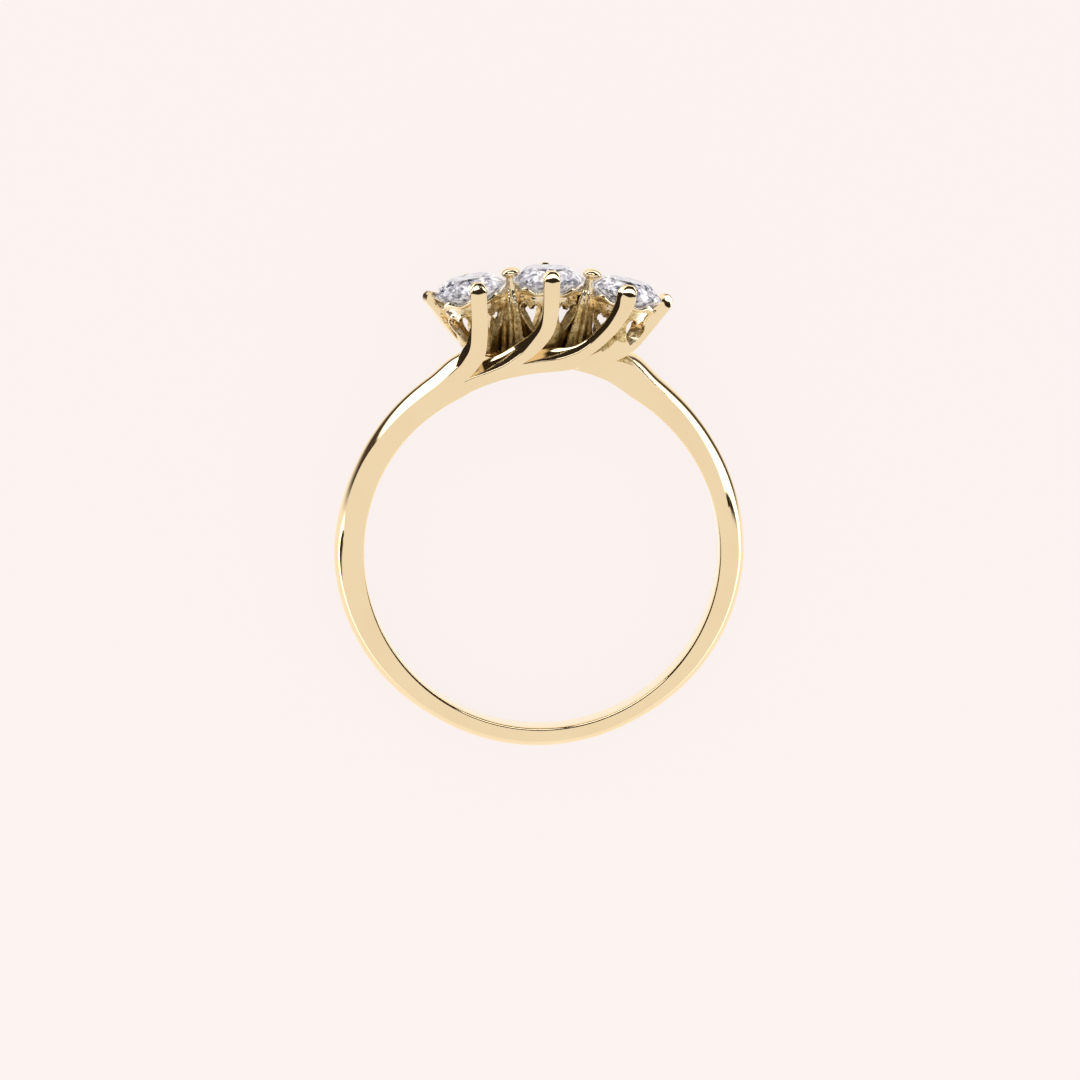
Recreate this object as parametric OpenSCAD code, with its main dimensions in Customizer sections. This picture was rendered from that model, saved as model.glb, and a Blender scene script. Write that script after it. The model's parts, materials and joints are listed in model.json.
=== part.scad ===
// Three stone ring: a cast gold mount and three round brilliant stones.
// The finger axis runs along Z, the stones face +Y, and the front of the ring faces +Z.
// The origin is the centre of the finger hole. The ring lies on its back, as it does on a table.

/* [Finger hole and band] */
// Inside diameter of the ring
finger_d = 16.9; // [14:0.1:22]
// Width of the band along the finger
band_w = 1.75; // [1.3:0.05:3]
// Thickness of the band at the foot of the ring
band_t = 0.98; // [0.8:0.02:1.8]
// Thickness of the band halfway up its sides
side_t = 1.32; // [0.9:0.02:2.2]
// Thickness of the band where it meets the head
root_t = 1.9; // [1.2:0.05:2.6]
// Sideways offset of the band's outer outline from the finger hole
outline_shift = 0.1; // [0:0.02:0.2]
// Rounding of the band's inner edges
comfort_r = 0.16; // [0.05:0.01:0.3]

/* [Stones] */
// Diameter of each stone
stone_d = 3.45; // [2.8:0.05:4.6]
// Space between the girdles of neighbouring stones
stone_gap = 0.3; // [0.2:0.05:0.8]
// Height of the girdles above the finger hole
girdle_h = 4.53; // [4:0.05:6]
// Angle by which the outer stones lean away from the middle one
side_tilt = 13; // [6:0.5:20]
// Gap between a stone and the metal round it
stone_clearance = 0.04; // [0.02:0.01:0.08]

/* [Claws] */
// Width of a claw
claw_w = 0.76; // [0.55:0.02:1]
// Thickness of a claw, from its inner to its outer face
claw_t = 0.66; // [0.5:0.02:0.9]
// Height of the claw tips above the girdles
claw_h = 0.62; // [0.45:0.02:0.9]
// How far a claw reaches in over the edge of its stone
claw_bite = 0.17; // [0.1:0.01:0.3]

/* [Coronets] */
// Wall of the pierced cups under the stones
cup_wall = 0.34; // [0.25:0.01:0.5]
// Diameter of a cup's foot
cup_foot_d = 1.6; // [1.4:0.05:2.2]
// Clear height between the finger hole and the floor under the cups
floor_lift = 0.42; // [0.2:0.02:0.8]
// Thickness of the floor under the cups
floor_t = 0.75; // [0.5:0.05:1.2]

/* [Hidden] */

GOLD = [0.93, 0.80, 0.56];
CRYSTAL = [0.90, 0.91, 0.95];

hole_r = finger_d / 2;
stone_r = stone_d / 2;
girdle_r = hole_r + girdle_h;
head_h = girdle_h + claw_h;

// Angle about the finger axis from one stone to the next
pitch = 2 * asin((stone_d + stone_gap) / 2 / girdle_r);

// Distance from a stone's middle to the middle of a claw that stands on its outer edge
claw_reach = stone_r - claw_bite + claw_t / 2;

// Round brilliant cut: sizes as shares of the stone's radius, and the lengths of the star facets and
// the lower halves as shares of the way to the girdle and to the culet
TABLE = 0.57;
CROWN = 0.31;
GIRDLE = 0.06;
PAVILION = 0.86;
STAR = 0.5;
LOWER_HALF = 0.77;

// The ring lies on its back claws and on the edge of the band's foot
lean = atan((claw_reach + claw_t / 2 - band_w / 2) / (girdle_r + hole_r + band_t));

// The right half of the band, from the foot of the ring up to the head.
// WAY: share of the way up; GROW: thickness, 0 at the foot, 1 at the side and 2 at the head; EDGE: height of the
// flat side face as a share of the thickness; CREST: outer face, 0 rounded and 1 a ridge; BACK: how far the
// section's middle moves back, as a share of the band's width
WAY = 0;
GROW = 1;
EDGE = 2;
CREST = 3;
BACK = 4;
BAND = [
    [0.00, 0.00, 0.42, 0.0, 0.00],
    [0.18, 0.00, 0.42, 0.0, 0.00],
    [0.36, 0.60, 0.45, 0.0, 0.00],
    [0.54, 1.00, 0.50, 0.1, 0.00],
    [0.62, 0.95, 0.62, 0.6, 0.00],
    [0.72, 0.90, 0.70, 1.0, 0.02],
    [0.84, 1.10, 0.72, 1.0, 0.12],
    [0.93, 1.38, 0.74, 1.0, 0.38],
    [1.00, 2.00, 0.80, 1.0, 0.50],
];
// Where the band ends inside the head, and the floor inside the band, as shares of the pitch
BAND_END = 1.35;
FLOOR_END = 1.5;

// The flat bars that fan out of the front end of the band and end as claws, and the lip under them.
// TURN: angle about the finger axis as a share of the pitch; RISE: height above the finger hole as a share of the
// head's; WIDE: width as a share of a claw's
TURN = 0;
RISE = 1;
WIDE = 2;
LEFT_BAR = [
    [-1.72, 0.20, 1.00],
    [-1.50, 0.24, 1.02],
    [-1.27, 0.31, 1.05],
    [-1.11, 0.44, 1.14],
    [-1.00, 0.64, 1.08],
    [-0.94, 0.86, 0.98],
];
CENTRE_BAR = [
    [-1.65, 0.12, 0.75],
    [-1.05, 0.12, 0.75],
    [-0.68, 0.15, 0.85],
    [-0.38, 0.23, 0.90],
    [-0.16, 0.34, 0.90],
    [-0.03, 0.49, 0.90],
    [0.02, 0.68, 0.90],
    [0.02, 0.90, 0.98],
];
RIGHT_BAR = [
    [-0.90, 0.12, 0.70],
    [0.03, 0.14, 0.70],
    [0.44, 0.21, 0.80],
    [0.75, 0.35, 0.85],
    [0.94, 0.50, 0.88],
    [1.03, 0.69, 0.88],
    [1.00, 0.89, 0.94],
];
LIP_BAR = [
    [-0.90, 0.11, 0.70],
    [-0.10, 0.12, 0.60],
    [0.30, 0.13, 0.50],
    [0.52, 0.15, 0.40],
];
END_BAR = [
    [0.42, 0.14, 0.60],
    [0.66, 0.185, 0.66],
    [0.92, 0.26, 0.72],
    [1.18, 0.41, 0.76],
    [1.37, 0.65, 0.76],
    [1.44, 0.95, 0.72],
];
// Where the bars spring from the band, as a share of the head's height, and how far their front faces stand back
// there from the front faces of the claws, as a share of a claw's thickness
SPRING = 0.12;
SETBACK = 0.78;
// Where the end bar crosses from the front row of claws to the middle plane, as shares of the pitch
CROSS_FROM = 0.42;
CROSS_TO = 1.46;

// The underside of the head is a rounder arc than the finger hole: its radius as a share of the hole's
RELIEF = 0.76;

// Plan of the floor's front edge, which steps back from the front end of the band to the back end.
// ACROSS: place across the head as a share of the distance to an outer stone's middle; DEPTH: place along the
// finger as a share of the distance to the inner face of a claw
ACROSS = 0;
DEPTH = 1;
FLOOR_EDGE = [
    [-1.15, 1.06],
    [0.15, 1.06],
    [0.50, 0.75],
    [0.95, 0.06],
    [1.15, 0.02],
];

// Section of the band: the outer slopes' shoulder as a share of the way down from the outer face to the side
// face, on a ridge and on a rounded stretch, and how far the metal reaches into the hole before it is bored
RIDGE_SHOULDER = 0.45;
ROUND_SHOULDER = 0.24;
BORE_STOCK = 0.03;

// A cup's rim as a share of its stone's radius, and its leaf shaped windows: length and foot below the girdle as
// shares of the stone's radius, and half the greatest width as a share of the length
CUP_RIM = 0.95;
LEAF_LONG = 0.95;
LEAF_FOOT = 1.35;
LEAF_WIDE = 0.34;

// Half the leaf's outline. SIDE: half width as a share of the greatest; UP: place as a share of the length
SIDE = 0;
UP = 1;
LEAF = [
    [0.00, 0.00],
    [0.70, 0.30],
    [0.90, 0.58],
    [0.50, 0.84],
    [0.00, 1.00],
];

// Fineness of the lofted shapes
BAND_STEPS = 26;
BAR_STEPS = 2;
FLOOR_STEPS = 12;

function unit(v) = v / norm(v);

function polar(turn, r, z) = [r * sin(turn), r * cos(turn), z];

// A table's row at a place between its rows, on a smooth curve through them
function row_at(rows, at) =
    let (
        last = len(rows) - 1,
        i = min(floor(at), last - 1),
        t = at - i,
        a = rows[max(i - 1, 0)],
        b = rows[i],
        c = rows[i + 1],
        d = rows[min(i + 2, last)]
    )
    b + t / 2 * (c - a + t * (2 * a - 5 * b + 4 * c - d + t * (3 * b - a - 3 * c + d)));

// Closed solid through rings of points, each with the same number of points
module skin(rings) {
    n = len(rings[0]);
    last = len(rings) - 1;
    points = [for (ring = rings) for (p = ring) p];
    lower = [for (i = [0:last - 1], j = [0:n - 1]) [i * n + j, (i + 1) * n + j, (i + 1) * n + (j + 1) % n]];
    upper = [for (i = [0:last - 1], j = [0:n - 1]) [i * n + j, (i + 1) * n + (j + 1) % n, i * n + (j + 1) % n]];
    first_cap = [for (j = [1:n - 2]) [0, j, j + 1]];
    last_cap = [for (j = [1:n - 2]) [last * n, last * n + j + 1, last * n + j]];
    polyhedron(points, concat(lower, upper, first_cap, last_cap));
}

// Places a shape on the spot of a stone, with the stone's axis along the shape's Z
// and the middle of its girdle at the origin
module at_stone(side) {
    rotate([0, 0, -side * pitch])
        translate([0, girdle_r, 0])
            rotate([0, 0, side * (pitch - side_tilt)])
                rotate([-90, 0, 0])
                    children();
}

// One section of the band, at a share of the way from the foot to the head on the given side
function band_thickness(grow) =
    grow < 1 ? band_t + (side_t - band_t) * grow : side_t + (root_t - side_t) * (grow - 1);

function band_section(way, side) =
    let (
        at = lookup(way, [for (i = [0:len(BAND) - 1]) [BAND[i][WAY], i]]),
        row = row_at(BAND, at),
        turn = side * (180 - way * (180 - BAND_END * pitch)),
        shift = -side * outline_shift * sin(abs(turn)) * (1 - row[CREST] / 2),
        thick = band_thickness(max(row[GROW], 0)) + shift,
        half = band_w / 2,
        middle = -side * row[BACK] * band_w,
        face = thick * row[EDGE],
        shoulder = thick - (thick - face) * (row[CREST] * RIDGE_SHOULDER + (1 - row[CREST]) * ROUND_SHOULDER),
        crown = thick - (thick - face) * (1 - row[CREST]) * 0.04,
        // Height above the finger hole and place across the width, for one half of the section
        front = [
            [-BORE_STOCK, half - 2 * comfort_r],
            [comfort_r * 0.25, half - comfort_r * 0.45],
            [comfort_r, half],
            [face, half],
            [shoulder, half * (0.55 + 0.25 * (1 - row[CREST]))],
            [crown, half * (0.06 + 0.36 * (1 - row[CREST]))],
        ],
        back = [for (i = [len(front) - 1:-1:0]) [front[i][0], -front[i][1]]]
    )
    [for (p = concat(front, back)) polar(turn, hole_r + p[0], middle + p[1])];

module band() {
    skin(concat(
        [for (i = [BAND_STEPS:-1:1]) band_section(i / BAND_STEPS, -1)],
        [for (i = [0:BAND_STEPS]) band_section(i / BAND_STEPS, 1)]
    ));
}

// Outline of a flat bar seen from the front, with a round end
function bar_outline(rows) =
    let (
        last = (len(rows) - 1) * BAR_STEPS,
        route = [for (k = [0:last])
            let (row = row_at(rows, k / BAR_STEPS), r = hole_r + row[RISE] * head_h, turn = row[TURN] * pitch)
            [r * sin(turn), r * cos(turn), row[WIDE] * claw_w / 2]],
        left = [for (k = [0:last]) beside(route, k, last, -1)],
        right = [for (k = [last:-1:0]) beside(route, k, last, 1)],
        tip = [route[last][0], route[last][1]],
        radius = left[last] - tip
    )
    concat(left, [for (a = [-30:-30:-150]) tip + [[cos(a), -sin(a)], [sin(a), cos(a)]] * radius], right);

// Point beside a route at half its width, to the left or the right of its direction
function beside(route, k, last, side) =
    let (
        next = route[min(k + 1, last)],
        back = route[max(k - 1, 0)],
        along = unit([next[0] - back[0], next[1] - back[1]])
    )
    [route[k][0], route[k][1]] + side * route[k][2] * [along[1], -along[0]];

// A flat plate of a claw's thickness, its outline drawn in the XY plane
module plate() {
    translate([0, 0, -claw_t / 2])
        linear_extrude(height = claw_t)
            children();
}

// The three bars of the front row of claws and their lip, in a plane that leans out towards the claws
module claw_row() {
    top = girdle_r + claw_h;
    out = atan(SETBACK * claw_t / (head_h * (1 - SPRING)));
    translate([0, top, claw_reach])
        rotate([out, 0, 0])
            translate([0, -top, 0])
                plate()
                    for (rows = [LEFT_BAR, CENTRE_BAR, RIGHT_BAR, LIP_BAR])
                        polygon(bar_outline(rows));
}

// The bar that crosses from the front to the outer end of the outer stone
module end_claw() {
    tip_x = (girdle_r + claw_h) * sin(CROSS_TO * pitch);
    root_x = (hole_r + SPRING * head_h) * sin(CROSS_FROM * pitch);
    across = atan((claw_reach - SETBACK * claw_t) / (tip_x - root_x));
    translate([tip_x, 0, 0])
        rotate([0, across, 0])
            translate([-tip_x, 0, 0])
                plate()
                    polygon(bar_outline(END_BAR));
}

// The bars on one side of the ring
module swirl() {
    claw_row();
    end_claw();
}

// Claw shared by two neighbouring stones, a round post with a broad head, standing on the floor between them
module shared_claw(side) {
    foot = floor_lift + floor_t / 2;
    rotate([0, 0, -side * pitch / 2])
        translate([0, hole_r, 0])
            rotate([-90, 0, 0])
                rotate_extrude($fn = 32)
                    polygon([
                        [0, foot],
                        [claw_w * 1.10, foot],
                        [claw_w * 0.62, girdle_h * 0.5],
                        [claw_w * 0.40, girdle_h * 0.8],
                        [claw_w * 0.26, girdle_h - stone_r * 0.15],
                        [claw_w * 0.30, girdle_h + stone_r * 0.08],
                        [claw_w * 0.52, head_h - claw_w * 0.30],
                        [claw_w * 0.50, head_h - claw_w * 0.14],
                        [claw_w * 0.28, head_h],
                        [0, head_h],
                    ]);
}

// Pierced cup under a stone
module coronet() {
    top = -stone_r * GIRDLE;
    foot = -(girdle_h - floor_lift - floor_t / 2);
    rim_r = stone_r * CUP_RIM;
    foot_r = cup_foot_d / 2;
    difference() {
        rotate_extrude($fn = 48)
            polygon([
                [foot_r - cup_wall, foot],
                [foot_r, foot],
                [rim_r, top],
                [rim_r - cup_wall, top],
            ]);
        for (quarter = [0:3])
            rotate([0, 0, 45 + 90 * quarter])
                cup_window();
    }
}

// Leaf shaped opening in a cup's wall, on its +X side
module cup_window() {
    long = stone_r * LEAF_LONG;
    wide = long * LEAF_WIDE;
    last = len(LEAF) - 1;
    rotate([90, 0, 90])
        translate([0, -stone_r * LEAF_FOOT, 0])
            linear_extrude(height = 2 * stone_r)
                polygon(concat(
                    [for (p = LEAF) [p[SIDE] * wide, p[UP] * long]],
                    [for (i = [last - 1:-1:1]) [-LEAF[i][SIDE] * wide, LEAF[i][UP] * long]]
                ));
}

// Floor that joins the two ends of the band under the cups
module gallery_floor() {
    half_turn = FLOOR_END * pitch;
    inner = hole_r - BORE_STOCK;
    outer = hole_r + floor_lift + floor_t;
    across = girdle_r * sin(pitch);
    depth = claw_reach - claw_t / 2;
    arc = [for (i = [0:FLOOR_STEPS]) half_turn * (2 * i / FLOOR_STEPS - 1)];
    edge = [for (p = FLOOR_EDGE) [p[ACROSS] * across, p[DEPTH] * depth]];
    intersection() {
        translate([0, 0, -2 * depth])
            linear_extrude(height = 4 * depth)
                polygon(concat(
                    [for (a = arc) inner * [sin(a), cos(a)]],
                    [for (i = [FLOOR_STEPS:-1:0]) outer * [sin(arc[i]), cos(arc[i])]]
                ));
        rotate([90, 0, 0])
            translate([0, 0, -2 * hole_r])
                linear_extrude(height = 2 * hole_r)
                    polygon(concat(edge, -edge));
    }
}

// Hollow under the head, a rounder arc than the finger hole
module relief() {
    radius = RELIEF * hole_r;
    translate([0, hole_r + floor_lift - radius, 0])
        cylinder(r = radius, h = 4 * band_w, center = true, $fn = 120);
}

// Space that a stone and its clearance take out of the metal
module seat() {
    c = stone_clearance;
    r = stone_r + c;
    rotate_extrude($fn = 48)
        polygon([
            [0, stone_r * (CROWN + GIRDLE / 2) + 3 * c],
            [stone_r * TABLE, stone_r * (CROWN + GIRDLE / 2) + 3 * c],
            [r, stone_r * GIRDLE / 2 + 2 * c],
            [r, -stone_r * GIRDLE / 2 - 2 * c],
            [0, -stone_r * (PAVILION + GIRDLE / 2) - 3 * c],
        ]);
}

module mount_metal() {
    band();
    for (turn = [0, 180])
        rotate([0, turn, 0])
            swirl();
    for (side = [-1, 1])
        shared_claw(side);
    gallery_floor();
    for (side = [-1:1])
        at_stone(side)
            coronet();
}

module lying() {
    rotate([lean, 0, 0])
        children();
}

module ring_mount() {
    color(GOLD)
        lying()
            difference() {
                mount_metal();
                cylinder(r = hole_r, h = 4 * band_w, center = true, $fn = 180);
                relief();
                for (side = [-1:1])
                    at_stone(side)
                        seat();
            }
}

// Round brilliant with its table, stars, kites, halves and mains, its girdle's middle at the origin
module brilliant() {
    half = GIRDLE / 2;
    table_edge = TABLE * cos(22.5);
    star_r = (table_edge + (1 - table_edge) * STAR) / cos(0);
    star_z = half + CROWN * (1 - star_r * cos(22.5)) / (1 - TABLE);
    low_r = 1 - LOWER_HALF;
    low_z = -half - PAVILION * (1 - low_r * cos(22.5));
    function eight(r, z, start) = [for (i = [0:7]) [r * cos(45 * i + start), r * sin(45 * i + start), z]];
    table = eight(TABLE, half + CROWN, 0);
    stars = eight(star_r, star_z, 22.5);
    upper = [for (i = [0:15]) [cos(22.5 * i), sin(22.5 * i), half]];
    lower = [for (p = upper) [p[0], p[1], -half]];
    lows = eight(low_r, low_z, 22.5);
    culet = [[0, 0, -half - PAVILION]];
    points = stone_r * concat(table, stars, upper, lower, lows, culet);
    TABLE_0 = 0;
    STAR_0 = 8;
    UPPER_0 = 16;
    LOWER_0 = 32;
    LOW_0 = 48;
    CULET_0 = 56;
    faces = concat(
        [[for (i = [7:-1:0]) TABLE_0 + i]],
        [for (i = [0:7]) [TABLE_0 + i, TABLE_0 + (i + 1) % 8, STAR_0 + i]],
        [for (i = [0:7]) [TABLE_0 + i, STAR_0 + i, UPPER_0 + 2 * i, STAR_0 + (i + 7) % 8]],
        [for (i = [0:7]) [STAR_0 + i, UPPER_0 + 2 * i + 1, UPPER_0 + 2 * i]],
        [for (i = [0:7]) [STAR_0 + i, UPPER_0 + (2 * i + 2) % 16, UPPER_0 + 2 * i + 1]],
        [for (i = [0:15]) [UPPER_0 + i, UPPER_0 + (i + 1) % 16, LOWER_0 + (i + 1) % 16, LOWER_0 + i]],
        [for (i = [0:7]) [LOW_0 + i, LOWER_0 + 2 * i, LOWER_0 + 2 * i + 1]],
        [for (i = [0:7]) [LOW_0 + i, LOWER_0 + 2 * i + 1, LOWER_0 + (2 * i + 2) % 16]],
        [for (i = [0:7]) [CULET_0, LOW_0 + (i + 7) % 8, LOWER_0 + 2 * i, LOW_0 + i]]
    );
    polyhedron(points, faces);
}

module stone(side) {
    color(CRYSTAL)
        lying()
            at_stone(side)
                brilliant();
}

module stone_left() {
    stone(-1);
}

module stone_centre() {
    stone(0);
}

module stone_right() {
    stone(1);
}

ring_mount();
stone_left();
stone_centre();
stone_right();
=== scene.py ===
"""Three stone ring: a cast yellow gold mount with swirling claws round three brilliant cut stones."""

import json
from math import asin, atan, atan2, cos, degrees, hypot, pi, radians, sin

import bmesh
import bpy
from mathutils import Matrix, Vector


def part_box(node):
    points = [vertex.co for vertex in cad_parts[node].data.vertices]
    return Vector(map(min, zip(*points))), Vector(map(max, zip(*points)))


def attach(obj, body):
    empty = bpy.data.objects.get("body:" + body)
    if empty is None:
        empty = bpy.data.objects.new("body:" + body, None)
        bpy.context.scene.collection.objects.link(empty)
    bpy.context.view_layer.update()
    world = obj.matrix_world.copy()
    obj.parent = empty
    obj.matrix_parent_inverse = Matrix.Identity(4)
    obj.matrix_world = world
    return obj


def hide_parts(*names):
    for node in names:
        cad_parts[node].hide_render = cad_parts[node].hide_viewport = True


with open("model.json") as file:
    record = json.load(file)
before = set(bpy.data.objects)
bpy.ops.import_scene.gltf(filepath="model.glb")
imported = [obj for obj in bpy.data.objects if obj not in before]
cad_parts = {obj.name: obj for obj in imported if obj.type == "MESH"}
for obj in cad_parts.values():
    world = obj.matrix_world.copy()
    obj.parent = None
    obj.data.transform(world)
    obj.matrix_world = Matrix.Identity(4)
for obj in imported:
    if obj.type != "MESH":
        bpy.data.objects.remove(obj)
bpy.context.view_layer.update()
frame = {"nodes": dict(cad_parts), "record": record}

# Sizes taken from the frame: the finger hole with its lean, and the middle stone
MM = 0.001
hole = frame["record"]["mounts"][0]
HOLE_R = hole["dims"]["r_mm"] * MM
LEAN = atan2(-hole["axis"][1], hole["axis"][2])
LYING = Matrix.Rotation(LEAN, 3, "X")
UPRIGHT = LYING.inverted()

# The stones' cut, as shares of their radius
TABLE = 0.57
CROWN = 0.31
GIRDLE = 0.06
PAVILION = 0.86

middle_stone = [UPRIGHT @ v.co for v in frame["nodes"]["stone_centre"].data.vertices]
STONE_R = max(v.x for v in middle_stone)
GIRDLE_R = max(v.y for v in middle_stone) - (CROWN + GIRDLE / 2) * STONE_R
STONE_GAP = 0.30 * MM
PITCH = 2 * asin((2 * STONE_R + STONE_GAP) / 2 / GIRDLE_R)
SIDE_TILT = radians(13)

# Band: its width, its thickness at the foot, at the sides and at the head, how far its outline lies to
# the left, and the radius of its inner edges
BAND_W = 1.75 * MM
BAND_T = 0.98 * MM
SIDE_T = 1.32 * MM
ROOT_T = 1.90 * MM
OUTLINE_SHIFT = 0.10 * MM
COMFORT_R = 0.16 * MM

# Head: the claws, the floor under the cups and the cups
CLAW_W = 0.76 * MM
CLAW_T = 0.66 * MM
CLAW_H = 0.62 * MM
CLAW_BITE = 0.17 * MM
CLAW_REACH = STONE_R - CLAW_BITE + CLAW_T / 2
GIRDLE_H = GIRDLE_R - HOLE_R
HEAD_H = GIRDLE_H + CLAW_H
FLOOR_LIFT = 0.42 * MM
FLOOR_T = 0.75 * MM
CUP_WALL = 0.30 * MM
CUP_FOOT_R = 0.80 * MM
SEAT_GAP = 0.02 * MM

# Arch over the finger that is cut under the head, and where its middle lies
ARCH_R = 0.76 * HOLE_R
ARCH_Y = HOLE_R + FLOOR_LIFT - ARCH_R

# Where the buff reaches the cast gold: from this height up and from this far out to the sides, with a
# soft edge
POLISH_Y = GIRDLE_R - 0.95 * MM
POLISH_X = 4.1 * MM
POLISH_EDGE = 0.2 * MM

# The front row of claws leans out: its slope, and the height above the finger hole where that starts
LEAN_OUT = 0.116
LEAN_FROM = 1.15 * MM
LEAN_SOFT = 0.6 * MM

# Rings from one row of a table to the next
ROW_STEPS = 4


# Shader maths

class Value:
    """A number or colour in a material, which takes part in sums as a plain number does."""

    def __init__(self, graph, socket):
        self.graph = graph
        self.socket = socket

    def __add__(self, other):
        return self.graph.maths("ADD", self, other)

    def __radd__(self, other):
        return self.graph.maths("ADD", other, self)

    def __sub__(self, other):
        return self.graph.maths("SUBTRACT", self, other)

    def __rsub__(self, other):
        return self.graph.maths("SUBTRACT", other, self)

    def __mul__(self, other):
        return self.graph.maths("MULTIPLY", self, other)

    def __rmul__(self, other):
        return self.graph.maths("MULTIPLY", other, self)

    def __truediv__(self, other):
        return self.graph.maths("DIVIDE", self, other)


class Graph:
    """The nodes of one material, or of the room."""

    def __init__(self, tree):
        self.tree = tree
        tree.nodes.clear()

    def add(self, kind, settings=None, inputs=None, output=0):
        """A node with its settings, then the values or links of its sockets; returns one of its outputs."""
        node = self.tree.nodes.new(kind)
        for name, value in (settings or {}).items():
            if name == "stops":
                ramp = node.color_ramp
                while len(ramp.elements) < len(value):
                    ramp.elements.new(0.5)
                for element, (place, colour) in zip(ramp.elements, value):
                    element.position = place
                    element.color = (*colour, 1)
            else:
                setattr(node, name, value)
        pairs = inputs.items() if isinstance(inputs, dict) else enumerate(inputs or [])
        for key, value in pairs:
            if isinstance(value, Value):
                self.tree.links.new(value.socket, node.inputs[key])
            else:
                node.inputs[key].default_value = value
        return Value(self, node.outputs[output]) if node.outputs else None

    def maths(self, operation, *terms):
        return self.add("ShaderNodeMath", {"operation": operation}, terms)

    def outputs(self, value, *names):
        """Named outputs of the node that a value comes from."""
        return [Value(self, value.socket.node.outputs[name]) for name in names]

    def axes(self, vector):
        """A vector's three numbers."""
        return self.outputs(self.add("ShaderNodeSeparateXYZ", {}, [vector]), "X", "Y", "Z")

    def rise(self, value, start, end):
        """0 up to the start and 1 from the end on, with a smooth way between them."""
        return self.add(
            "ShaderNodeMapRange",
            {"interpolation_type": "SMOOTHSTEP"},
            {"Value": value, "From Min": start, "From Max": end},
        )

    def ramp(self, value, *stops):
        """A colour that goes through those of the stops as the value grows."""
        return self.add("ShaderNodeValToRGB", {"stops": stops}, [value])

    def mixed(self, share, first, second):
        """A colour that lies a share of the way from the first to the second."""
        return self.add(
            "ShaderNodeMix", {"data_type": "RGBA"}, {"Factor": share, 6: first, 7: second}, output=2
        )

    def noise(self, place, size, detail=2.0):
        """Soft noise whose lumps are about the given size across."""
        return self.add(
            "ShaderNodeTexNoise",
            {},
            {"Vector": place, "Scale": 1 / size, "Detail": detail, "Roughness": 0.5},
        )

    def bump(self, height, strength, depth):
        return self.add("ShaderNodeBump", {}, {"Strength": strength, "Distance": depth, "Height": height})


def material(name):
    """A new material with its graph and the place on the piece that it reads."""
    made = bpy.data.materials.new(name)
    made.use_nodes = True
    graph = Graph(made.node_tree)
    return made, graph, graph.add("ShaderNodeTexCoord", output="Object")


def polished_gold():
    made, graph, place = material("polished_gold")
    buffing = graph.noise(place, 2.4 * MM)
    hairlines = graph.noise(place, 0.12 * MM, 4.0)
    shader = graph.add(
        "ShaderNodeBsdfPrincipled",
        {},
        {
            "Base Color": graph.ramp(buffing, (0.30, (0.905, 0.725, 0.460)), (0.70, (0.930, 0.755, 0.490))),
            "Metallic": 1.0,
            "Roughness": 0.055 + 0.05 * buffing,
            "Normal": graph.bump(hairlines, 0.05, 0.004 * MM),
        },
    )
    graph.add("ShaderNodeOutputMaterial", {}, {"Surface": shader})
    return made


def cast_gold():
    """Gold as cast, with painted shade in the deep places, and polished under the stones and at the head's
    two ends.
    """
    made, graph, place = material("cast_gold")
    grains = graph.noise(place, 0.09 * MM, 5.0)
    lumps = graph.noise(place, 0.35 * MM, 3.0)
    x, up, _ = graph.axes(place)
    across = graph.maths("ABSOLUTE", x)
    high = graph.rise(up + 0.12 * across, POLISH_Y - POLISH_EDGE, POLISH_Y + POLISH_EDGE)
    outer = graph.rise(across, POLISH_X - POLISH_EDGE, POLISH_X + POLISH_EDGE)
    buffed = graph.maths("MAXIMUM", high, outer)
    rough = graph.ramp(
        0.55 * grains + 0.45 * lumps,
        (0.34, (0.26, 0.17, 0.055)), (0.50, (0.66, 0.49, 0.22)), (0.64, (0.98, 0.83, 0.50)),
    )
    # Painted shade: the rough gold turns dark brown low down, near the finger hole, and near the middle of
    # the head
    low = graph.rise(up, HOLE_R + 3.2 * MM, HOLE_R + 1.2 * MM)
    inside = graph.rise(across, 3.0 * MM, 2.4 * MM)
    grain_with_painted_shade = graph.mixed(0.8 * low * inside, rough, (0.20, 0.13, 0.04, 1))
    shader = graph.add(
        "ShaderNodeBsdfPrincipled",
        {},
        {
            "Base Color": graph.mixed(buffed, grain_with_painted_shade, (0.94, 0.81, 0.58, 1)),
            "Metallic": 1.0,
            "Roughness": 0.15 + (0.08 + 0.20 * grains) * (1 - buffed),
            "Normal": graph.bump((grains + lumps) * (1 - 0.85 * buffed), 0.6, 0.03 * MM),
        },
    )
    graph.add("ShaderNodeOutputMaterial", {}, {"Surface": shader})
    return made


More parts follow.
